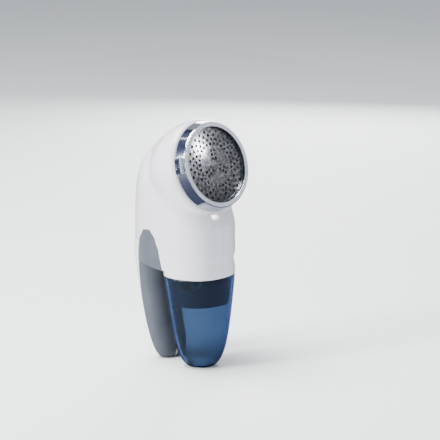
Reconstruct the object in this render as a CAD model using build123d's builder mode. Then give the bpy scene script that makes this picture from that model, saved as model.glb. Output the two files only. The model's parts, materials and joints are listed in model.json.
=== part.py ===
"""Hook-shaped battery fabric shaver, built as separate sub-parts.

Millimetres, +Z up, the shaving head faces -Y (tilted up), the handle is on the +Y side and the
body is symmetric about X = 0.  The origin is on the ground under the middle of the body.
"""

import os
from math import copysign, cos, pi, radians, sin

from build123d import *

# ---- Driving dimensions -------------------------------------------------------------------------
WALL = 2.0  # housing and lint bin walls
LEG_Y = -16.0  # axis of the front leg, which ends in the lint bin
SEAM_Z = 62.0  # joint between housing and lint bin
SEAM_GAP = 0.3
ROOF_Z = 66.0  # roof of the finger gap between leg and handle
BIN_CLEARANCE = 0.35
SPIGOT_TOP = 65.0
FAR = 200.0  # larger than the object, for cutting boxes

HEAD_CENTRE = (0, -32, 137)  # middle of the shaving ring's front rim
HEAD_TILT = 17.5  # the head looks up by this many degrees
RING_FRONT_R, RING_BACK_R, RING_DEPTH = 28.0, 30.0, 7.4
RING_BORE_R, RING_LIP_R, RING_LIP = 26.3, 25.0, 1.2
LUG_ANGLES = (173,)
CUP_R, CUP_FACE, CUP_BACK = 32.0, -7.8, -50.0
NECK_R, NECK_BORE_R, NECK_TOP = 26.0, 24.0, -4.5

FOIL_R, FOIL_FRONT, FOIL_THICK = 26.1, -1.3, 0.4
FOIL_HOLE_R, FOIL_ROW_COUNT = 1.0, 27
FOIL_ROWS = (14.0, 16.8, 19.6, 22.2)
FOIL_ARM_ANGLES = (90, 210, 330)
FOIL_ARM_STEPS = (4.6, 7.2, 9.8)

BLADE_COUNT, BLADE_THICK = 3, 0.5
BLADE_TOP, BLADE_FOOT = -1.9, -4.6
SHAFT_R, HUB_BORE_R = 1.15, 1.2
CHAMBER_FLOOR, MOUNT_BACK = -15.0, -17.2
MOTOR_R, MOTOR_BACK = 12.0, -39.0

DUCT_Y, DUCT_R, DUCT_WALL = -18.8, 7.5, 1.3

BUTTON_Y, BUTTON_Z, BUTTON_R, BUTTON_TRAVEL = 4.0, 103.0, 6.6, 1.5
BEZEL_R, BEZEL_OUT = 8.6, 24.4

CELL_R, CELL_LENGTH = 7.1, 50.5
LOWER_CELL = ((0, 19.6, 28.5), (0, 27.0, 79.0))
UPPER_CELL = ((0, 27.3, 81.0), (0, 20.2, 131.0))

COVER_HALF, COVER_LOW, COVER_HIGH, COVER_GAP = 8.0, 12.0, 116.0, 0.35
SCREWS = ((-31, 72, 8.4), (4, 84, 12.0), (14.3, 14, 5.6), (2, 150, 11.0))  # y, z, head seat x
BOSS_R, SCREW_HEAD_R, SCREW_R, SCREW_TIP_X = 4.0, 2.6, 1.2, -7.5

# Body above the finger gap: height, front, back, mean half width, extra half width at the front.
EGG = (
    (66, -37.5, 39.5, 23.5, 7.2),
    (74, -37.5, 40.0, 23.5, 7.2),
    (82, -37.5, 40.2, 23.5, 7.2),
    (90, -37.5, 40.1, 23.6, 7.1),
    (98, -36.9, 39.8, 23.8, 6.9),
    (106, -33.4, 38.9, 24.0, 6.6),
    (114, -30.0, 37.3, 24.4, 6.0),
    (122, -27.4, 34.9, 24.6, 5.2),
    (130, -24.4, 31.5, 23.9, 4.2),
    (138, -20.6, 26.3, 21.1, 3.1),
    (146, -14.8, 18.6, 15.4, 1.7),
    (154, -6.0, 7.0, 6.0, 0.0),
)
EGG_POINTS, EGG_POWER = 24, 0.85
# Front leg: height, size against the section at the seam, forward shift of its axis.
LEG = (
    (72, 1.0, 0.0),
    (63, 1.0, 0.0),
    (54, 0.97, -0.2),
    (45, 0.925, -0.45),
    (36, 0.875, -0.75),
    (27, 0.82, -1.0),
    (18, 0.752, -1.2),
    (9, 0.645, -1.45),
    (0, 0.38, -1.8),
)
LEG_HALF_X, LEG_HALF_Y = 24.4, 21.2
# Handle: height, half width, half depth, middle.
HANDLE = (
    (0, 6.5, 4.2, 12.0),
    (2.5, 9.2, 6.4, 12.4),
    (6.5, 11.2, 7.9, 13.2),
    (16, 12.6, 9.2, 16.0),
    (29, 13.2, 10.0, 19.6),
    (42, 13.6, 10.5, 22.6),
    (55, 13.8, 11.0, 25.0),
    (66, 14.0, 11.3, 26.6),
    (78, 14.0, 11.3, 27.5),
)
GRIP_OUTLINE = (
    (9.5, 90.5), (3.5, 86.5), (-1.5, 78), (-5, 66.01), (6, 66), (4.5, 60), (4.5, -1), (14.5, -1),
    (19, 8), (22.5, 22), (25, 38), (27, 56), (27, 70), (24, 82), (17.5, 89),
)
GRIP_PROUD, GRIP_INLAY = 0.3, 0.9

TILT_SIN, TILT_COS = sin(radians(HEAD_TILT)), cos(radians(HEAD_TILT))
HEAD_NORMAL = (0, -TILT_COS, TILT_SIN)
HEAD = Plane(origin=HEAD_CENTRE, x_dir=(1, 0, 0), z_dir=HEAD_NORMAL)
HEAD_PROFILE = Plane(origin=HEAD_CENTRE, x_dir=(1, 0, 0), z_dir=(0, -TILT_SIN, -TILT_COS))
HEAD_AXIS = Axis(HEAD_CENTRE, HEAD_NORMAL)


# ---- Outer surfaces -----------------------------------------------------------------------------
def egg_outline(front, back, mean, lead, inset):
    """Closed plan outline that is wide at the front leg and narrow at the handle."""
    middle, reach = (front + back) / 2, (back - front) / 2 - inset
    points = []
    for step in range(EGG_POINTS):
        turn = 2 * pi * step / EGG_POINTS
        width = mean - inset + lead * cos(turn)
        x = copysign(abs(sin(turn)) ** EGG_POWER, sin(turn)) * width
        points.append((x, middle - reach * cos(turn)))
    return points


def leg_outline(scale, shift, inset):
    """Plan outline of the front leg: the egg's front, closed by a half ellipse behind."""
    _, front, back, mean, lead = EGG[0]
    middle, reach = (front + back) / 2, (back - front) / 2
    side_turn = radians(68.7)
    half = []
    for step in range(9):
        turn = side_turn * step / 8
        half.append((sin(turn) ** EGG_POWER * (mean + lead * cos(turn)), middle - reach * cos(turn)))
    side_x, side_y = half[-1]
    for step in range(1, 6):
        turn = pi / 2 * step / 5
        half.append((side_x * cos(turn), side_y + 18 * sin(turn)))
    mirrored = [(-x, y) for x, y in reversed(half[1:-1])]
    fit_x, fit_y = scale - inset / LEG_HALF_X, scale - inset / LEG_HALF_Y
    return [(fit_x * x, LEG_Y + shift + fit_y * (y - LEG_Y)) for x, y in half + mirrored]


def egg_solid(inset):
    low, high = (ROOF_Z + max(inset, 0), EGG[-1][0] - inset)
    with BuildPart() as solid:
        for index, (z, *plan) in enumerate(EGG):
            level = low if index == 0 else high if index == len(EGG) - 1 else z
            with BuildSketch(Plane.XY.offset(level)):
                with BuildLine():
                    Spline(egg_outline(*plan, inset), periodic=True)
                make_face()
        loft()
    return solid.part


def leg_solid(inset, low, high):
    with BuildPart() as solid:
        for z, scale, shift in LEG:
            with BuildSketch(Plane.XY.offset(z)):
                with BuildLine():
                    Spline(leg_outline(scale, shift, inset), periodic=True)
                make_face()
        loft()
        with Locations((0, LEG_Y, (low + high) / 2)):
            Box(FAR, FAR, high - low, mode=Mode.INTERSECT)
    return solid.part


def handle_solid(inset):
    with BuildPart() as solid:
        for index, (z, half_x, half_y, middle) in enumerate(HANDLE):
            level = inset if index == 0 else z + (inset / 2 if index == 1 else 0)
            with BuildSketch(Plane.XY.offset(level)):
                with Locations((0, middle)):
                    Ellipse(half_x - inset, half_y - inset)
        loft()
    return solid.part


def cup_solid(inset):
    """Head cup behind the ring, domed towards the back."""
    radius, back = CUP_R - inset, CUP_BACK + inset
    face = CUP_FACE - inset
    with BuildPart() as solid:
        with BuildSketch(HEAD_PROFILE):
            with BuildLine():
                Polyline((0, back), (0, face), (radius - 1.8, face), (radius, face - 2.2), (radius, -14))
                Spline(
                    (radius, -14), (radius * 0.87, -14 + 0.5 * (back + 14)), (0, back),
                    tangents=((0, -1), (-1, 0)),
                )
            make_face()
        revolve(axis=HEAD_AXIS)
    return solid.part


def turned(outline):
    """Solid of revolution about the head axis, from (radius, height) corners."""
    with BuildPart() as solid:
        with BuildSketch(HEAD_PROFILE):
            with BuildLine():
                Polyline(*outline, close=True)
            make_face()
        revolve(axis=HEAD_AXIS)
    return solid.part


def side_prism(outline, low_x, high_x):
    """Side-view outline in Y and Z, extruded between two X positions."""
    with BuildPart() as solid:
        with BuildSketch(Plane.YZ.offset(low_x)):
            with BuildLine():
                Polyline(*outline, close=True)
            make_face()
        extrude(amount=high_x - low_x)
    return solid.part


def rod(start, end, radius):
    """Round bar between two points."""
    run = Vector(*end) - Vector(*start)
    with BuildPart() as solid:
        with BuildSketch(Plane(origin=start, z_dir=run.normalized())):
            Circle(radius)
        extrude(amount=run.length)
    return solid.part


def cell_plane(cell, along):
    """Plane across a cell, at a distance from its lower end."""
    start, end = Vector(*cell[0]), Vector(*cell[1])
    run = (end - start).normalized()
    return Plane(origin=start + run * along, x_dir=(1, 0, 0), z_dir=run)


def back_window(gap):
    """Block behind the handle that outlines the battery cover, grown by a gap."""
    height = COVER_HIGH - COVER_LOW + 2 * gap
    with BuildPart() as block:
        with Locations((0, 40, (COVER_LOW + COVER_HIGH) / 2)):
            Box(2 * (COVER_HALF + gap), 38, height)
    return block.part


with BuildPart() as outer:
    add(egg_solid(0))
    add(cup_solid(0))
    add(leg_solid(0, SEAM_Z, 71))
    add(handle_solid(0))

with BuildPart() as inner:
    add(egg_solid(WALL))
    add(cup_solid(WALL))
    add(leg_solid(WALL, SEAM_Z - 1, 71))
    add(handle_solid(WALL))

# ---- Grip inlays --------------------------------------------------------------------------------
with BuildPart() as grip_layer:
    add(egg_solid(-GRIP_PROUD))
    add(handle_solid(-GRIP_PROUD))
    add(egg_solid(GRIP_INLAY), mode=Mode.SUBTRACT)
    add(handle_solid(GRIP_INLAY), mode=Mode.SUBTRACT)
    with Locations((0, 0, GRIP_PROUD - FAR / 2)):
        Box(FAR, FAR, FAR, mode=Mode.SUBTRACT)
    add(back_window(COVER_GAP), mode=Mode.SUBTRACT)

with BuildPart() as left_grip:
    add(grip_layer.part)
    add(side_prism(GRIP_OUTLINE, -40, -1), mode=Mode.INTERSECT)
left_grip.part.label = "left_grip"

with BuildPart() as right_grip:
    add(grip_layer.part)
    add(side_prism(GRIP_OUTLINE, 1, 40), mode=Mode.INTERSECT)
right_grip.part.label = "right_grip"

# ---- Battery cover ------------------------------------------------------------------------------
with BuildPart() as battery_cover:
    add(outer.part)
    add(inner.part, mode=Mode.SUBTRACT)
    add(back_window(0), mode=Mode.INTERSECT)
battery_cover.part.label = "battery_cover"

# ---- Housing halves -----------------------------------------------------------------------------
with BuildPart() as bosses:
    for y, z, _ in SCREWS:
        add(rod((-40, y, z), (40, y, z), BOSS_R))
    add(outer.part, mode=Mode.INTERSECT)

with BuildPart() as housing:
    add(outer.part)
    add(inner.part, mode=Mode.SUBTRACT)
    add(turned(((NECK_BORE_R, -10.5), (NECK_R, -10.5), (NECK_R, NECK_TOP), (NECK_BORE_R, NECK_TOP))))
    add(turned(((0, -12), (NECK_BORE_R, -12), (NECK_BORE_R, 1), (0, 1))), mode=Mode.SUBTRACT)
    ring_room = ((NECK_R, CUP_FACE), (CUP_R + 0.4, CUP_FACE), (CUP_R + 0.4, 8), (NECK_R, 8))
    add(turned(ring_room), mode=Mode.SUBTRACT)
    add(bosses.part)
    for y, z, seat in SCREWS:
        add(rod((seat, y, z), (40, y, z), SCREW_HEAD_R + 0.3), mode=Mode.SUBTRACT)
        add(rod((SCREW_TIP_X - 0.5, y, z), (seat, y, z), SCREW_R + 0.05), mode=Mode.SUBTRACT)
    add(back_window(COVER_GAP), mode=Mode.SUBTRACT)
    add(left_grip.part, mode=Mode.SUBTRACT)
    add(right_grip.part, mode=Mode.SUBTRACT)
    add(rod((15, BUTTON_Y, BUTTON_Z), (40, BUTTON_Y, BUTTON_Z), BEZEL_R), mode=Mode.SUBTRACT)

with BuildPart() as left_housing:
    add(housing.part)
    with Locations((-FAR / 2, 0, 80)):
        Box(FAR, FAR, FAR, mode=Mode.INTERSECT)
left_housing.part.label = "left_housing"

with BuildPart() as right_housing:
    add(housing.part)
    with Locations((FAR / 2, 0, 80)):
        Box(FAR, FAR, FAR, mode=Mode.INTERSECT)
right_housing.part.label = "right_housing"

with BuildPart() as housing_screws:
    for y, z, seat in SCREWS:
        add(rod((seat, y, z), (seat + 1.6, y, z), SCREW_HEAD_R))
        add(rod((SCREW_TIP_X, y, z), (seat, y, z), SCREW_R))
        with Locations((seat + 1.6, y, z)):
            Box(1.4, 2.8, 0.7, mode=Mode.SUBTRACT)
            Box(1.4, 0.7, 2.8, mode=Mode.SUBTRACT)
housing_screws.part.label = "housing_screws"

# ---- Power button -------------------------------------------------------------------------------
with BuildPart() as button_bezel:
    add(rod((20.6, BUTTON_Y, BUTTON_Z), (BEZEL_OUT, BUTTON_Y, BUTTON_Z), BEZEL_R))
    fillet(button_bezel.edges().group_by(SortBy.LENGTH)[-1].sort_by(Axis.X)[-1], radius=0.6)
    add(rod((20, BUTTON_Y, BUTTON_Z), (30, BUTTON_Y, BUTTON_Z), BUTTON_R + 0.3), mode=Mode.SUBTRACT)
button_bezel.part.label = "button_bezel"

with BuildPart() as power_button:
    add(rod((20.3, BUTTON_Y, BUTTON_Z), (26.2, BUTTON_Y, BUTTON_Z), BUTTON_R))
    fillet(power_button.edges().sort_by(Axis.X)[-1], radius=1.0)
    add(rod((18.4, BUTTON_Y, BUTTON_Z), (20.3, BUTTON_Y, BUTTON_Z), 7.8))
    add(rod((14.2, BUTTON_Y, BUTTON_Z), (18.4, BUTTON_Y, BUTTON_Z), 1.8))
    with Locations((26.2 + 8.6, BUTTON_Y, BUTTON_Z)):
        Sphere(9.2, mode=Mode.SUBTRACT)
power_button.part.label = "power_button"

with BuildPart() as switch_body:
    with Locations((8.5, BUTTON_Y, BUTTON_Z)):
        Box(9, 9, 13)
    add(rod((12, BUTTON_Y, BUTTON_Z), (20, BUTTON_Y, BUTTON_Z), 2.0), mode=Mode.SUBTRACT)
    with Locations((3, BUTTON_Y, BUTTON_Z - 4), (3, BUTTON_Y, BUTTON_Z + 4)):
        Box(2, 2.4, 0.6)
switch_body.part.label = "switch_body"

# ---- Cutting head -------------------------------------------------------------------------------
with BuildPart() as chrome_ring:
    add(turned((
        (RING_LIP_R, 0), (RING_FRONT_R, 0), (RING_BACK_R, -RING_DEPTH), (RING_BORE_R, -RING_DEPTH),
        (RING_BORE_R, -RING_LIP), (RING_LIP_R, -RING_LIP),
    )))
    rims = chrome_ring.edges().filter_by(GeomType.CIRCLE).filter_by(lambda e: e.radius > 27)
    fillet(rims, radius=0.7)
    with BuildSketch(HEAD.offset(-6.4)):
        for angle in LUG_ANGLES:
            with Locations(Rotation(0, 0, angle) * Location((29.4, 0))):
                RectangleRounded(3.4, 11, 1.4)
    extrude(amount=4.6)
    with BuildSketch(HEAD.offset(-7)):
        Circle(RING_BORE_R)
    extrude(amount=7 - RING_LIP, mode=Mode.SUBTRACT)
    for angle in LUG_ANGLES:
        with Locations(HEAD * Rotation(0, 0, angle) * Location((33.6, 0, -4.1))):
            Cylinder(3.2, 3.0, mode=Mode.SUBTRACT)
chrome_ring.part.label = "chrome_ring"

with BuildPart() as foil:
    with BuildSketch(HEAD.offset(FOIL_FRONT - FOIL_THICK)):
        Circle(FOIL_R)
        for row, radius in enumerate(FOIL_ROWS):
            with PolarLocations(radius, FOIL_ROW_COUNT, start_angle=row % 2 * 180 / FOIL_ROW_COUNT):
                Circle(FOIL_HOLE_R, mode=Mode.SUBTRACT)
        for arm in FOIL_ARM_ANGLES:
            for step in FOIL_ARM_STEPS:
                with PolarLocations(step, 2, start_angle=arm - 80 / step, angular_range=320 / step):
                    Circle(FOIL_HOLE_R, mode=Mode.SUBTRACT)
    extrude(amount=FOIL_THICK)
foil.part.label = "foil"

foil_back = FOIL_FRONT - FOIL_THICK
with BuildPart() as foil_frame:
    add(turned(((24.4, foil_back), (FOIL_R, foil_back), (FOIL_R, -4.2), (24.4, -4.2))))
foil_frame.part.label = "foil_frame"

with BuildPart() as cutter_hub:
    add(turned(((0, -3.4), (3.6, -3.4), (4.6, -4.4), (4.6, -10), (0, -10))))
    with BuildSketch(HEAD.offset(-6.3)):
        with PolarLocations(12.5, BLADE_COUNT, start_angle=90):
            SlotOverall(19, 6)
        Circle(8)
    extrude(amount=6.3 + BLADE_FOOT)
    add(turned(((0, -10.1), (HUB_BORE_R, -10.1), (HUB_BORE_R, -4.3), (0, -4.3))), mode=Mode.SUBTRACT)
cutter_hub.part.label = "cutter_hub"

with BuildPart() as cutter_blades:
    with BuildSketch(HEAD.offset(BLADE_FOOT)):
        with PolarLocations(13.3, BLADE_COUNT, start_angle=90):
            Rectangle(16.4, BLADE_THICK)
    extrude(amount=BLADE_TOP - BLADE_FOOT)
cutter_blades.part.label = "cutter_blades"

with BuildPart() as fan_impeller:
    add(turned(((0, -12.4), (15.5, -12.4), (15.5, -13.2), (0, -13.2))))
    add(turned(((0, -10.3), (3.4, -10.3), (3.4, -13.2), (0, -13.2))))
    with BuildSketch(HEAD.offset(-12.5)):
        with PolarLocations(9.3, 8):
            Rectangle(12.2, 0.9, rotation=18)
    extrude(amount=1.8)
    add(turned(((0, -14), (SHAFT_R, -14), (SHAFT_R, -10), (0, -10))), mode=Mode.SUBTRACT)
fan_impeller.part.label = "fan_impeller"

with BuildPart() as cutter_chamber:
    add(turned((
        (4, CHAMBER_FLOOR), (23.9, CHAMBER_FLOOR), (23.9, -5), (22.5, -5), (22.5, -13.7), (4, -13.7),
    )))
    with Locations(HEAD * Location((0, -17.8, -14.4))):
        Box(12.4, 7.8, 2, mode=Mode.SUBTRACT)
cutter_chamber.part.label = "cutter_chamber"

# ---- Lint path ----------------------------------------------------------------------------------
with BuildPart() as lint_duct:
    with Locations(HEAD * Location((0, -17.9, -22))):
        Box(15, 10.2, 14)
    with Locations((0, DUCT_Y, 79.5)):
        Cylinder(DUCT_R, 63)
    with Locations(HEAD * Location((0, -17.8, -21.4))):
        Box(12.4, 7.8, 13, mode=Mode.SUBTRACT)
    with Locations((0, DUCT_Y, 78)):
        Cylinder(DUCT_R - DUCT_WALL, 66, mode=Mode.SUBTRACT)
    with Locations(HEAD * Location((0, 0, CHAMBER_FLOOR + 20))):
        Box(80, 80, 40, mode=Mode.SUBTRACT)
lint_duct.part.label = "lint_duct"

spigot_skin = WALL + BIN_CLEARANCE
with BuildPart() as bin_spigot:
    add(leg_solid(spigot_skin, 43, SPIGOT_TOP))
    add(leg_solid(spigot_skin + 1.5, 42, SPIGOT_TOP - 1.6), mode=Mode.SUBTRACT)
    with Locations((0, DUCT_Y, 60)):
        Cylinder(DUCT_R, 20, mode=Mode.SUBTRACT)
    for side in (-1, 1):
        add(rod((side * 10, LEG_Y - 4, SEAM_Z), (side * 30, LEG_Y - 16, SEAM_Z), 8.2),
            mode=Mode.SUBTRACT)
bin_spigot.part.label = "bin_spigot"

with BuildPart() as lint_bin:
    add(leg_solid(0, 0, SEAM_Z - SEAM_GAP))
    add(leg_solid(WALL, WALL, SEAM_Z + 5), mode=Mode.SUBTRACT)
    for side in (-1, 1):
        with Locations(Location((side * 22.9, LEG_Y + 2, 50), (0, 90, 0))):
            Cylinder(1.9, 1.6)
lint_bin.part.label = "lint_bin"

# ---- Motor --------------------------------------------------------------------------------------
with BuildPart() as motor_mount:
    with BuildSketch(HEAD.offset(MOUNT_BACK)):
        with Locations((0, 2.5)):
            RectangleRounded(40, 28, 5)
        Circle(3.2, mode=Mode.SUBTRACT)
        with Locations((-8, 0), (8, 0)):
            Circle(1.0, mode=Mode.SUBTRACT)
    extrude(amount=CHAMBER_FLOOR - MOUNT_BACK)
    with BuildSketch(HEAD.offset(CHAMBER_FLOOR - 1.2)):
        with Locations((-8, 0), (8, 0)):
            Circle(2.0)
    extrude(amount=1.2, mode=Mode.SUBTRACT)
motor_mount.part.label = "motor_mount"

with BuildPart() as motor_screws:
    for side in (-8, 8):
        with Locations(HEAD * Location((side, 0, CHAMBER_FLOOR - 0.7))):
            Cylinder(1.8, 1.0)
        with Locations(HEAD * Location((side, 0, CHAMBER_FLOOR - 2.7))):
            Cylinder(0.9, 3.0)
motor_screws.part.label = "motor_screws"

with BuildPart() as motor_can:
    add(turned((
        (3, MOUNT_BACK), (MOTOR_R, MOUNT_BACK), (MOTOR_R, MOTOR_BACK), (11, MOTOR_BACK),
        (11, MOUNT_BACK - 1), (3, MOUNT_BACK - 1),
    )))
    for side in (-8, 8):
        with Locations(HEAD * Location((side, 0, MOUNT_BACK - 0.5))):
            Cylinder(0.95, 3.0, mode=Mode.SUBTRACT)
motor_can.part.label = "motor_can"

with BuildPart() as motor_magnets:
    add(turned(((9.4, -20.5), (11, -20.5), (11, -35), (9.4, -35))))
    with Locations(HEAD * Location((0, 0, -28))):
        Box(8, 40, 30, mode=Mode.SUBTRACT)
motor_magnets.part.label = "motor_magnets"

with BuildPart() as motor_end_bell:
    add(turned((
        (1.2, -41.5), (MOTOR_R, -41.5), (MOTOR_R, MOTOR_BACK), (10.9, MOTOR_BACK), (10.9, -38), (1.2, -38),
    )))
motor_end_bell.part.label = "motor_end_bell"

with BuildPart() as motor_terminals:
    with Locations(HEAD * Location((-6, 0, -43)), HEAD * Location((6, 0, -43))):
        Box(0.5, 2.6, 3.0)
motor_terminals.part.label = "motor_terminals"

with BuildPart() as front_bush:
    add(turned(((1.2, -18.4), (3, -18.4), (3, -15.6), (1.2, -15.6))))
front_bush.part.label = "front_bush"

with BuildPart() as motor_shaft:
    add(turned(((0, -42.4), (SHAFT_R, -42.4), (SHAFT_R, -4.9), (SHAFT_R - 0.3, -4.6), (0, -4.6))))
motor_shaft.part.label = "motor_shaft"

with BuildPart() as armature:
    with BuildSketch(HEAD.offset(-34)):
        Circle(8.8)
        Circle(SHAFT_R, mode=Mode.SUBTRACT)
        with PolarLocations(7, 3):
            Rectangle(7, 1.4, mode=Mode.SUBTRACT)
    extrude(amount=13)
armature.part.label = "armature"

with BuildPart() as windings:
    for height in (-36, -21):
        with BuildSketch(HEAD.offset(height)):
            with PolarLocations(4.9, 3, start_angle=60):
                SlotOverall(6.6, 3.4, rotation=90)
        extrude(amount=2)
    add(turned(((0, -37), (SHAFT_R, -37), (SHAFT_R, -18), (0, -18))), mode=Mode.SUBTRACT)
windings.part.label = "windings"

with BuildPart() as commutator:
    add(turned(((SHAFT_R, -37.8), (2.5, -37.8), (2.5, -36.1), (SHAFT_R, -36.1))))
commutator.part.label = "commutator"


# ---- Cells and contacts -------------------------------------------------------------------------
def cell_solid(cell):
    """AA cell: can with a nub at its upper end."""
    with BuildPart() as solid:
        with BuildSketch(cell_plane(cell, 0)):
            Circle(CELL_R)
        extrude(amount=CELL_LENGTH - 1.2)
        fillet(solid.edges().filter_by(GeomType.CIRCLE), radius=0.6)
        with BuildSketch(cell_plane(cell, CELL_LENGTH - 1.3)):
            Circle(2.7)
        extrude(amount=1.3)
    return solid.part


with BuildPart() as battery_lower:
    add(cell_solid(LOWER_CELL))
battery_lower.part.label = "battery_lower"

with BuildPart() as battery_upper:
    add(cell_solid(UPPER_CELL))
battery_upper.part.label = "battery_upper"

with BuildPart() as spring_contact:
    for turn_index, radius in enumerate((4.6, 4.1, 3.6, 3.1)):
        plane = cell_plane(LOWER_CELL, -4.5 + 1.3 * turn_index)
        with Locations(plane.location):
            Torus(radius, 0.4)
    with BuildSketch(cell_plane(LOWER_CELL, -5.6)):
        RectangleRounded(11, 10, 1)
    extrude(amount=0.5)
spring_contact.part.label = "spring_contact"

with BuildPart() as link_contact:
    with BuildSketch(cell_plane(LOWER_CELL, CELL_LENGTH + 0.1)):
        RectangleRounded(10, 9, 1)
    extrude(amount=0.4)
link_contact.part.label = "link_contact"

with BuildPart() as positive_contact:
    with BuildSketch(cell_plane(UPPER_CELL, CELL_LENGTH + 0.1)):
        RectangleRounded(10, 9, 1)
    extrude(amount=0.5)
positive_contact.part.label = "positive_contact"


def wire(corners, bends):
    """Insulated wire along a bent route."""
    with BuildPart() as solid:
        with BuildLine() as route:
            FilletPolyline(*corners, radius=bends)
        with BuildSketch(Plane(origin=route.line @ 0, z_dir=route.line % 0)):
            Circle(0.7)
        sweep()
    return solid.part


with BuildPart() as supply_wire:
    add(wire(((-6, 17.5, 131), (-10, 13, 131), (-10, 10.6, 127)), 2.0))
supply_wire.part.label = "supply_wire"

with BuildPart() as switch_wire:
    add(wire(((2, 4, 107.9), (2, 4, 112), (8, 9.5, 117), (8, 11.5, 121)), 3.0))
switch_wire.part.label = "switch_wire"

PARTS = (
    left_housing, right_housing, left_grip, right_grip, housing_screws, battery_cover,
    button_bezel, power_button, switch_body, chrome_ring, foil, foil_frame, cutter_hub, cutter_blades,
    fan_impeller, cutter_chamber, lint_duct, bin_spigot, lint_bin, motor_mount, motor_screws, motor_can,
    motor_magnets, motor_end_bell, motor_terminals, front_bush, motor_shaft, armature, windings,
    commutator, battery_lower, battery_upper, spring_contact, link_contact, positive_contact,
    supply_wire, switch_wire,
)

os.makedirs("parts", exist_ok=True)
for built in PARTS:
    export_step(built.part, f"parts/{built.part.label}.step")
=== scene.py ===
"""Looks of the fabric shaver, on the CAD frame: materials, smooth skins, light and camera."""
import json
import math

import bmesh
import bpy
from mathutils import Matrix, Vector

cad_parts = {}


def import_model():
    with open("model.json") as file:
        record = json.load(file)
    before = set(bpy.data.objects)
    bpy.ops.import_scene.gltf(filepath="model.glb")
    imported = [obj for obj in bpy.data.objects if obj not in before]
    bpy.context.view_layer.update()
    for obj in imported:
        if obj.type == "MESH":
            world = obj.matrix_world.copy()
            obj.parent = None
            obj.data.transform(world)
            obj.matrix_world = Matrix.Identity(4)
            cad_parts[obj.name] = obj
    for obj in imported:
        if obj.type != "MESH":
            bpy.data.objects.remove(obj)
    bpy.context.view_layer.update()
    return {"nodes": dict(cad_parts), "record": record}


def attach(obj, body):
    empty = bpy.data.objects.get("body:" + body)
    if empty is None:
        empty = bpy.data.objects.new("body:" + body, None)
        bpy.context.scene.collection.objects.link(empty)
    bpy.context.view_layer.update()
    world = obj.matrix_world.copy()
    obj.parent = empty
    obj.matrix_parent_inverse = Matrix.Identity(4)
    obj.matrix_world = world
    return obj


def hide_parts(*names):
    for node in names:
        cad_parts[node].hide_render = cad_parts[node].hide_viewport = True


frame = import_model()
NODES = frame["nodes"]

HEAD_CENTRE = Vector((0, -0.032, 0.137))
TILT = math.radians(17.5)
HEAD_NORMAL = Vector((0, -math.cos(TILT), math.sin(TILT)))
HEAD_UP = Vector((0, math.sin(TILT), math.cos(TILT)))
HEAD = Matrix((
    (1, HEAD_UP.x, HEAD_NORMAL.x, HEAD_CENTRE.x),
    (0, HEAD_UP.y, HEAD_NORMAL.y, HEAD_CENTRE.y),
    (0, HEAD_UP.z, HEAD_NORMAL.z, HEAD_CENTRE.z),
    (0, 0, 0, 1),
))
JOINT_HALF_WIDTH = 0.00016
BIN_DYE, BIN_DYE_DENSITY = (0.15, 0.30, 0.62), 520.0
FOIL_DOME = 5.0  # extra doming that only the shading shows, metres of height per metre squared
FOIL_BRUSHING = 9000.0  # circular brushing, radians per metre of radius


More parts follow.
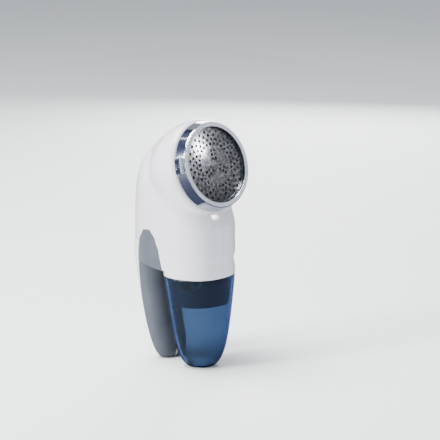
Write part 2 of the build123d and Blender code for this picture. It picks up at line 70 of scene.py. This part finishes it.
# ---- Materials ----------------------------------------------------------------------------------
class Shader:
    """A Principled material whose colour, roughness and bump come from procedural layers."""

    def __init__(self, name):
        self.material = bpy.data.materials.new(name)
        self.material.use_nodes = True
        self.tree = self.material.node_tree
        self.body = self.tree.nodes["Principled BSDF"]
        coords = self.tree.nodes.new("ShaderNodeTexCoord")
        self.coords = coords.outputs["Object"]

    def node(self, kind, **values):
        made = self.tree.nodes.new(kind)
        for key, value in values.items():
            if key in made.inputs:
                made.inputs[key].default_value = value
            else:
                setattr(made, key, value)
        return made

    def link(self, source, target):
        self.tree.links.new(source, target)

    def noise(self, scale, detail=4.0, rough=0.55, stretch=(1, 1, 1)):
        mapping = self.node("ShaderNodeMapping")
        mapping.inputs["Scale"].default_value = stretch
        self.link(self.coords, mapping.inputs["Vector"])
        made = self.node("ShaderNodeTexNoise")
        made.inputs["Scale"].default_value = scale
        made.inputs["Detail"].default_value = detail
        made.inputs["Roughness"].default_value = rough
        self.link(mapping.outputs["Vector"], made.inputs["Vector"])
        return made.outputs["Fac"]

    def ramp(self, source, stops):
        made = self.node("ShaderNodeValToRGB")
        points = made.color_ramp.elements
        while len(points) < len(stops):
            points.new(0.5)
        for point, (place, colour) in zip(points, stops):
            point.position = place
            point.color = (*colour, 1)
        self.link(source, made.inputs["Fac"])
        return made.outputs["Color"]

    def spread(self, source, low, high):
        made = self.node("ShaderNodeMapRange")
        made.inputs["To Min"].default_value = low
        made.inputs["To Max"].default_value = high
        self.link(source, made.inputs["Value"])
        return made.outputs["Result"]

    def mix(self, factor, first, second):
        made = self.node("ShaderNodeMix", data_type="RGBA")
        self.link(factor, made.inputs["Factor"])
        self.link(first, made.inputs[6])
        self.link(second, made.inputs[7])
        return made.outputs[2]

    def multiplied(self, share, first, second):
        """The first colour, darkened by the given share of the second."""
        made = self.node("ShaderNodeMix", data_type="RGBA", blend_type="MULTIPLY")
        made.inputs["Factor"].default_value = share
        self.link(first, made.inputs[6])
        self.link(second, made.inputs[7])
        return made.outputs[2]

    def edges(self, radius):
        """White on edges, from how far the rounded normal turns away from the flat one."""
        bevel = self.node("ShaderNodeBevel", samples=4)
        bevel.inputs["Radius"].default_value = radius
        geometry = self.node("ShaderNodeNewGeometry")
        dot = self.node("ShaderNodeVectorMath", operation="DOT_PRODUCT")
        self.link(bevel.outputs["Normal"], dot.inputs[0])
        self.link(geometry.outputs["Normal"], dot.inputs[1])
        return self.ramp(dot.outputs["Value"], ((0.80, (1, 1, 1)), (0.97, (0, 0, 0))))

    def bump(self, layers, bevel=0.0):
        """Stacks (source, strength, distance) height layers, on rounded edges."""
        normal = None
        if bevel:
            made = self.node("ShaderNodeBevel", samples=6)
            made.inputs["Radius"].default_value = bevel
            normal = made.outputs["Normal"]
        for source, strength, distance in layers:
            made = self.node("ShaderNodeBump")
            made.inputs["Strength"].default_value = strength
            made.inputs["Distance"].default_value = distance
            self.link(source, made.inputs["Height"])
            if normal is not None:
                self.link(normal, made.inputs["Normal"])
            normal = made.outputs["Normal"]
        self.link(normal, self.body.inputs["Normal"])

    def set(self, **values):
        for key, value in values.items():
            self.body.inputs[key.replace("_", " ")].default_value = value


    def radius_from(self, centre):
        """Distance of the shaded point from a point, in metres."""
        made = self.node("ShaderNodeVectorMath", operation="DISTANCE")
        self.link(self.coords, made.inputs[0])
        made.inputs[1].default_value = centre
        return made.outputs["Value"]

    def maths(self, operation, first, second=None):
        made = self.node("ShaderNodeMath", operation=operation)
        for socket, value in zip(made.inputs, (first, second)):
            if isinstance(value, (int, float)):
                socket.default_value = value
            elif value is not None:
                self.link(value, socket)
        return made.outputs["Value"]

    def parting_line(self, half_width):
        """1 away from the X = 0 joint between the shell halves, falling to 0 on it."""
        split = self.node("ShaderNodeSeparateXYZ")
        self.link(self.coords, split.inputs[0])
        across = self.maths("ABSOLUTE", split.outputs["X"])
        return self.maths("MINIMUM", self.maths("DIVIDE", across, half_width), 1.0)


def plastic(name, dark, light, rough=(0.18, 0.34), grain=900, grain_height=0.00002, edge=None, coat=0.0,
            bevel=0.0004, subsurface=0.0):
    """Moulded plastic: faint cloudiness, fine skin texture, handling marks and worn edges."""
    s = Shader(name)
    clouds = s.ramp(s.noise(38, 5), ((0.3, dark), (0.7, light)))
    if edge:
        worn = s.edges(bevel * 1.6)
        tint = s.node("ShaderNodeRGB")
        tint.outputs[0].default_value = (*edge, 1)
        clouds = s.mix(worn, clouds, tint.outputs[0])
    s.link(clouds, s.body.inputs["Base Color"])
    s.link(s.spread(s.noise(150, 8, 0.7), *rough), s.body.inputs["Roughness"])
    s.bump(((s.noise(grain, 3), 0.25, grain_height), (s.noise(60, 2), 0.2, 0.00008)), bevel)
    s.set(Coat_Weight=coat, Coat_Roughness=0.06, Subsurface_Weight=subsurface, Subsurface_Scale=0.002)
    return s.material


def shell_plastic(name):
    """Glossy white shell with a fine joint line between its halves."""
    s = Shader(name)
    clouds = s.ramp(s.noise(30, 5), ((0.3, (0.72, 0.705, 0.765)), (0.7, (0.77, 0.76, 0.815))))
    line = s.parting_line(JOINT_HALF_WIDTH)
    shade = s.ramp(line, ((0.0, (0.45, 0.45, 0.52)), (1.0, (1, 1, 1))))
    s.link(s.multiplied(0.8, clouds, shade), s.body.inputs["Base Color"])
    s.link(s.spread(s.noise(150, 8, 0.7), 0.12, 0.27), s.body.inputs["Roughness"])
    s.bump((
        (line, 0.6, 0.0002), (s.noise(900, 3), 0.2, 0.00002), (s.noise(55, 2), 0.15, 0.0001),
    ))
    s.set(Coat_Weight=0.4, Coat_Roughness=0.06, Subsurface_Weight=0.05, Subsurface_Scale=0.002)
    return s.material


def metal(name, dark, light, rough, stretch=(1, 1, 1), scale=220, bevel=0.0002, scratches=0.25):
    """Turned, drawn or pressed metal, with grain along the stretched axis and fine scratches."""
    s = Shader(name)
    s.link(s.ramp(s.noise(scale, 6, 0.6, stretch), ((0.3, dark), (0.7, light))), s.body.inputs["Base Color"])
    s.link(s.spread(s.noise(scale * 1.7, 8, 0.7, stretch), *rough), s.body.inputs["Roughness"])
    s.bump(((s.noise(scale * 4, 4, 0.6, stretch), scratches, 0.00001),), bevel)
    s.set(Metallic=1.0)
    return s.material


def rubber(name, dark, light):
    """Satin soft-touch rubber with a fine grain."""
    s = Shader(name)
    s.link(s.ramp(s.noise(55, 6), ((0.3, dark), (0.7, light))), s.body.inputs["Base Color"])
    s.link(s.spread(s.noise(260, 6), 0.42, 0.60), s.body.inputs["Roughness"])
    s.bump(((s.noise(2600, 2), 0.5, 0.00004), (s.noise(120, 2), 0.2, 0.00006)), 0.0004)
    s.set(Sheen_Weight=0.15, Sheen_Roughness=0.4)
    return s.material


def clear_blue(name):
    """Tinted see-through plastic of the lint bin, with faint flow marks and handling haze."""
    s = Shader(name)
    flow = s.noise(26, 3, 0.5, (1, 1, 0.4))
    tint = s.ramp(flow, ((0.3, (0.320, 0.400, 0.430)), (0.7, (0.390, 0.470, 0.500))))
    s.link(tint, s.body.inputs["Base Color"])
    s.link(s.spread(s.noise(170, 8, 0.75), 0.01, 0.05), s.body.inputs["Roughness"])
    s.bump(((s.noise(40, 2), 0.15, 0.0001), (s.noise(700, 2), 0.1, 0.00001)), 0.0005)
    volume = s.node("ShaderNodeVolumeAbsorption")
    volume.inputs["Color"].default_value = (*BIN_DYE, 1)
    volume.inputs["Density"].default_value = BIN_DYE_DENSITY
    s.link(volume.outputs["Volume"], s.tree.nodes["Material Output"].inputs["Volume"])
    s.set(Transmission_Weight=0.98, IOR=1.40, Coat_Weight=0.05, Coat_Roughness=0.03)
    return s.material


def chrome(name):
    """Plated plastic: mirror-like, with a faint ripple and finger marks."""
    s = Shader(name)
    tint = s.ramp(s.noise(90, 5), ((0.3, (0.60, 0.64, 0.74)), (0.7, (0.76, 0.79, 0.86))))
    s.link(tint, s.body.inputs["Base Color"])
    s.link(s.spread(s.noise(300, 10, 0.8), 0.03, 0.16), s.body.inputs["Roughness"])
    s.bump(((s.noise(70, 2), 0.12, 0.0001), (s.noise(1500, 3), 0.12, 0.000004)), 0.0003)
    s.set(Metallic=1.0)
    return s.material


def foil_steel(name):
    """Thin rolled steel with circular brushing, mottled wear and darker burnt spots."""
    s = Shader(name)
    mottled = s.ramp(s.noise(620, 6, 0.7), (
        (0.32, (0.05, 0.05, 0.06)), (0.5, (0.20, 0.20, 0.21)), (0.68, (0.50, 0.50, 0.51)),
    ))
    broad = s.ramp(s.noise(90, 3), ((0.3, (0.35, 0.36, 0.38)), (0.7, (0.82, 0.82, 0.84))))
    s.link(s.multiplied(0.85, mottled, broad), s.body.inputs["Base Color"])
    s.link(s.spread(s.noise(500, 8, 0.7), 0.14, 0.28), s.body.inputs["Roughness"])
    radius = s.radius_from(HEAD_CENTRE)
    dome = s.maths("MULTIPLY", s.maths("POWER", radius, 2.0), -FOIL_DOME)
    rings = s.maths("SINE", s.maths("MULTIPLY", radius, FOIL_BRUSHING))
    s.bump((
        (dome, 1.0, 1.0), (rings, 0.08, 0.00003), (s.noise(900, 5, 0.7), 0.5, 0.00005),
        (s.noise(120, 2), 0.4, 0.0002),
    ))
    s.set(Metallic=1.0)
    return s.material


MATERIALS = {
    "white_shell": shell_plastic("white_shell"),
    "grip_grey": rubber("grip_grey", (0.055, 0.064, 0.085), (0.080, 0.090, 0.115)),
    "blue_clear": clear_blue("blue_clear"),
    "skirt_plastic": plastic("skirt_plastic", (0.07, 0.06, 0.12), (0.11, 0.10, 0.17), (0.3, 0.5)),
    "black_plastic": plastic(
        "black_plastic", (0.012, 0.012, 0.014), (0.024, 0.024, 0.028), (0.12, 0.3), edge=(0.09, 0.09, 0.1),
    ),
    "inner_plastic": plastic(
        "inner_plastic", (0.55, 0.55, 0.58), (0.66, 0.66, 0.69), (0.35, 0.55), edge=(0.75, 0.75, 0.78),
    ),
    "chrome": chrome("chrome"),
    "foil_steel": foil_steel("foil_steel"),
    "steel": metal("steel", (0.42, 0.42, 0.44), (0.62, 0.62, 0.64), (0.22, 0.42), (1, 1, 6)),
    "motor_iron": metal("motor_iron", (0.12, 0.12, 0.13), (0.22, 0.22, 0.24), (0.4, 0.6), (1, 9, 1)),
    "ferrite": plastic("ferrite", (0.05, 0.05, 0.055), (0.09, 0.09, 0.095), (0.6, 0.8)),
    "copper": metal("copper", (0.50, 0.22, 0.10), (0.72, 0.36, 0.18), (0.2, 0.4), (12, 1, 1)),
    "contact_metal": metal("contact_metal", (0.62, 0.58, 0.48), (0.78, 0.74, 0.64), (0.18, 0.36)),
    "cell_jacket": plastic("cell_jacket", (0.03, 0.035, 0.04), (0.055, 0.06, 0.07), (0.2, 0.34), coat=0.4),
    "wire_red": rubber("wire_red", (0.42, 0.02, 0.02), (0.55, 0.04, 0.04)),
}
SLOT_OF = {part["node"]: part["material_slot"] for part in frame["record"]["subparts"]}
for node_name, cad in NODES.items():
    cad.data.materials.clear()
    cad.data.materials.append(MATERIALS[SLOT_OF[node_name]])


# ---- Blended shell ------------------------------------------------------------------------------
VOXEL = 0.0006
CUP_R, CUP_BACK, CUP_SIDE = 0.032, 0.050, 0.014
CUP_REACH, CUP_START = 0.010, 0.0115  # how far from the cup, and how far behind the rim, skin is smoothed
FADE = 0.004
COVER_FRONT = 0.0325  # the battery cover's edge, which stays crisp
# The button's seat and the upper screw hole, which stay crisp: point, radius.
KEEP_SHARP = (((0.0235, 0.004, 0.103), 0.0125), ((0.014, 0.002, 0.150), 0.006))
# The band above the bin where body and front leg meet: strength, lowest and highest Z, rearmost Y.
SHOULDER_WEIGHT, SHOULDER_LOW, SHOULDER_HIGH, SHOULDER_BACK = 0.3, 0.0640, 0.082, -0.004
SETTLE_STRENGTH, SETTLE_STEPS = 0.8, 160
EVEN_STRENGTH, EVEN_STEPS = 0.5, 3
FAINTEST = 0.01


def smooth_step(value):
    value = min(1.0, max(0.0, value))
    return value * value * (3 - 2 * value)


def cup_distance(point):
    """Rough distance from the head cup's outer surface, and depth behind the ring's rim."""
    local = HEAD.inverted() @ point
    depth = -local.z
    radius = math.hypot(local.x, local.y)
    if depth < CUP_SIDE:
        return abs(radius - CUP_R), depth
    reach = CUP_BACK - CUP_SIDE
    return abs(math.hypot(radius, (depth - CUP_SIDE) * CUP_R / reach) - CUP_R), depth


def blend_weight(point):
    """How strongly a shell point is smoothed: most where the head cup runs into the body."""
    off, depth = cup_distance(point)
    weight = smooth_step(1 - off / CUP_REACH) * smooth_step((depth - CUP_START) / FADE)
    weight *= smooth_step((COVER_FRONT - point.y) / FADE)
    for centre, radius in KEEP_SHARP:
        if point.x > 0:
            weight *= smooth_step(((point - Vector(centre)).length - radius) / FADE)
    shoulder = smooth_step((point.z - SHOULDER_LOW) / 0.003) * smooth_step((SHOULDER_HIGH - point.z) / 0.005)
    shoulder *= smooth_step((SHOULDER_BACK - point.y) / FADE)
    return max(weight, SHOULDER_WEIGHT * shoulder)


def applied(obj):
    """New mesh with an object's modifiers applied."""
    bpy.context.view_layer.update()
    graph = bpy.context.evaluated_depsgraph_get()
    return bpy.data.meshes.new_from_object(obj.evaluated_get(graph))


def blended_shell():
    """One smooth skin for both housing halves, with the head cup flowing into the body."""
    made = bmesh.new()
    for half in ("left_housing", "right_housing"):
        made.from_mesh(NODES[half].data)
    bmesh.ops.remove_doubles(made, verts=made.verts, dist=1e-6)
    mesh = bpy.data.meshes.new("housing_shell")
    made.to_mesh(mesh)
    made.free()
    shell = bpy.data.objects.new("housing_shell", mesh)
    bpy.context.scene.collection.objects.link(shell)
    remesh = shell.modifiers.new("skin", "REMESH")
    remesh.mode = "VOXEL"
    remesh.voxel_size = VOXEL
    shell.data = applied(shell)
    shell.modifiers.clear()
    group = shell.vertex_groups.new(name="blend")
    for vertex in shell.data.vertices:
        weight = blend_weight(vertex.co)
        if weight > FAINTEST:
            group.add([vertex.index], weight, "REPLACE")
    settle = shell.modifiers.new("settle", "SMOOTH")
    settle.factor, settle.iterations, settle.vertex_group = SETTLE_STRENGTH, SETTLE_STEPS, "blend"
    even = shell.modifiers.new("even", "SMOOTH")
    even.factor, even.iterations = EVEN_STRENGTH, EVEN_STEPS
    shell.data = applied(shell)
    shell.modifiers.clear()
    shell.data.materials.clear()
    shell.data.materials.append(MATERIALS["white_shell"])
    for face in shell.data.polygons:
        face.use_smooth = True
    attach(shell, "housing")
    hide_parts("left_housing", "right_housing")


blended_shell()


# ---- Floor, light and camera --------------------------------------------------------------------
VIEW_AZIMUTH, VIEW_ELEVATION = math.radians(-45.5), math.radians(13.0)
VIEW_AIM, VIEW_DISTANCE, VIEW_LENS, VIEW_END = (0.0246, -0.0105, 0.0927), 1.5, 185, 20
FLOOR_HALF = 3.0
SKY, SKY_STRENGTH = (0.72, 0.78, 0.84), 0.56
BODY_MIDDLE, UPPER_BODY = (0, 0, 0.09), (0, 0, 0.1)
FOIL_MIDDLE, RING_LEVEL = (0, -0.03, 0.14), (0, 0, 0.13)
NAVY = ((0.010, 0.014, 0.045), (0.03, 0.04, 0.10))
DEEP_NAVY = ((0.005, 0.007, 0.020), (0.012, 0.016, 0.040))
GREY = ((0.40, 0.40, 0.41), (0.62, 0.62, 0.63))


def grid_mesh(name, half):
    mesh = bpy.data.meshes.new(name)
    made = bmesh.new()
    bmesh.ops.create_grid(made, x_segments=1, y_segments=1, size=half)
    made.to_mesh(mesh)
    made.free()
    return mesh


def floor():
    mesh = grid_mesh("floor", FLOOR_HALF)
    plane = bpy.data.objects.new("floor", mesh)
    bpy.context.scene.collection.objects.link(plane)
    s = Shader("floor")
    tint = s.ramp(s.noise(3, 2), ((0.3, (0.90, 0.93, 0.93)), (0.7, (0.93, 0.95, 0.95))))
    s.link(tint, s.body.inputs["Base Color"])
    s.set(Roughness=0.7)
    mesh.materials.append(s.material)


def area_light(name, place, aim, size, power, tint=(1, 1, 1), diffuse=True):
    """Rectangular lamp; with diffuse off it shows only in reflections."""
    data = bpy.data.lights.new(name, "AREA")
    data.shape = "RECTANGLE"
    data.size, data.size_y = size
    data.energy = power
    data.color = tint
    lamp = bpy.data.objects.new(name, data)
    lamp.location = place
    lamp.rotation_euler = (Vector(aim) - Vector(place)).to_track_quat("-Z", "Y").to_euler()
    lamp.visible_diffuse = diffuse
    bpy.context.scene.collection.objects.link(lamp)


def world():
    scene_world = bpy.data.worlds.new("studio")
    bpy.context.scene.world = scene_world
    scene_world.use_nodes = True
    tree = scene_world.node_tree
    tree.nodes["Background"].inputs["Color"].default_value = (*SKY, 1)
    tree.nodes["Background"].inputs["Strength"].default_value = SKY_STRENGTH


def camera():
    toward = Vector((
        math.sin(VIEW_AZIMUTH) * math.cos(VIEW_ELEVATION),
        -math.cos(VIEW_AZIMUTH) * math.cos(VIEW_ELEVATION),
        math.sin(VIEW_ELEVATION),
    ))
    data = bpy.data.cameras.new("camera")
    data.lens = VIEW_LENS
    data.clip_end = VIEW_END
    viewer = bpy.data.objects.new("camera", data)
    viewer.location = Vector(VIEW_AIM) + toward * VIEW_DISTANCE
    viewer.rotation_euler = (-toward).to_track_quat("-Z", "Y").to_euler()
    bpy.context.scene.collection.objects.link(viewer)
    bpy.context.scene.camera = viewer


def mirror_card(name, place, aim, size, shades):
    """Card that only reflections see, so that the chrome and the foil have something darker to mirror."""
    mesh = grid_mesh(name, 0.5)
    for vertex in mesh.vertices:
        vertex.co.x, vertex.co.y = vertex.co.x * size[0], vertex.co.y * size[1]
    card = bpy.data.objects.new(name, mesh)
    card.location = place
    card.rotation_euler = (Vector(aim) - Vector(place)).to_track_quat("-Z", "Y").to_euler()
    card.visible_camera = card.visible_diffuse = False
    card.visible_shadow = card.visible_transmission = False
    bpy.context.scene.collection.objects.link(card)
    s = Shader(name)
    tint = s.ramp(s.noise(4, 2), ((0.3, shades[0]), (0.7, shades[1])))
    s.link(tint, s.body.inputs["Base Color"])
    s.set(Roughness=0.9)
    mesh.materials.append(s.material)


floor()
world()
area_light("key", (-1.15, 0.40, 0.50), BODY_MIDDLE, (0.3, 0.9), 30.0)
area_light("fill", (0.10, -1.35, 0.60), BODY_MIDDLE, (0.5, 0.5), 3.0, (0.90, 0.93, 1))
area_light("top", (-0.20, 0.20, 1.0), UPPER_BODY, (0.6, 0.6), 27.0)
area_light("rim", (0.7, 0.5, 0.4), UPPER_BODY, (0.4, 0.6), 7.0)
area_light("glint", (0.50, -0.72, 0.60), FOIL_MIDDLE, (0.15, 0.15), 6.0, diffuse=False)
mirror_card("card_side", (-1.1, 0.42, 0.20), RING_LEVEL, (1.3, 0.9), NAVY)
mirror_card("card_above", (-0.35, 0.75, 0.80), RING_LEVEL, (1.3, 1.0), NAVY)
mirror_card("card_front", (0.85, -0.95, 0.30), RING_LEVEL, (1.4, 1.2), GREY)
mirror_card("card_floor", (0, 0, 0.0004), (0, 0, 0.5), (2.0, 2.0), DEEP_NAVY)
camera()
